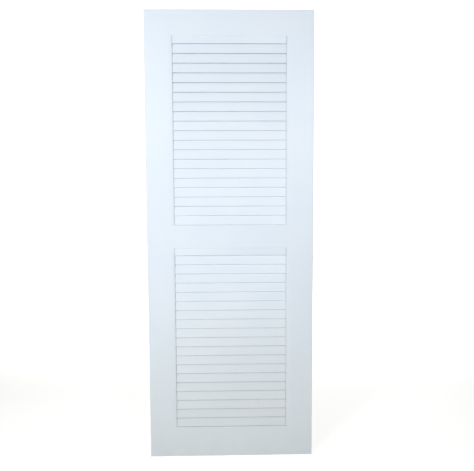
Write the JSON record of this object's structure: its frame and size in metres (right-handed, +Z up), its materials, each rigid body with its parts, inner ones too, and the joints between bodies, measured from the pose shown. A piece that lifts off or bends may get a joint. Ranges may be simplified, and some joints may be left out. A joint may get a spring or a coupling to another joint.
{
  "type": "bathroom door",
  "caption": "Door leaf in white plastic: hollow stiles and rails around a lower and an upper panel of fixed, overlapping louvre slats.",
  "frame": {"origin": "middle of the hinge edge's face, halfway up the leaf and halfway through its thickness", "axes": "+X from the hinge edge to the latch edge, -Y out of the front face, which the slats slope down towards, +Z up"},
  "size_m": [0.762, 0.03, 2.057],
  "materials": {
    "frame": "satin rigid PVC extrusion",
    "slat": "satin rigid PVC extrusion",
    "plug": "moulded plastic"
  },
  "bodies": {
    "root": {"hinge_stile": "frame", "latch_stile": "frame", "top_rail": "frame", "mid_rail": "frame", "bottom_rail": "frame", "end_plugs": "plug", "lower_slat_01": "slat", "lower_slat_02": "slat", "lower_slat_03": "slat", "lower_slat_04": "slat", "lower_slat_05": "slat", "lower_slat_06": "slat", "lower_slat_07": "slat", "lower_slat_08": "slat", "lower_slat_09": "slat", "lower_slat_10": "slat", "lower_slat_11": "slat", "lower_slat_12": "slat", "lower_slat_13": "slat", "lower_slat_14": "slat", "lower_slat_15": "slat", "lower_slat_16": "slat", "lower_slat_17": "slat", "lower_slat_18": "slat", "lower_slat_19": "slat", "lower_slat_20": "slat", "upper_slat_01": "slat", "upper_slat_02": "slat", "upper_slat_03": "slat", "upper_slat_04": "slat", "upper_slat_05": "slat", "upper_slat_06": "slat", "upper_slat_07": "slat", "upper_slat_08": "slat", "upper_slat_09": "slat", "upper_slat_10": "slat", "upper_slat_11": "slat", "upper_slat_12": "slat", "upper_slat_13": "slat", "upper_slat_14": "slat", "upper_slat_15": "slat", "upper_slat_16": "slat", "upper_slat_17": "slat", "upper_slat_18": "slat", "upper_slat_19": "slat", "upper_slat_20": "slat"}
  },
  "joints": []
}
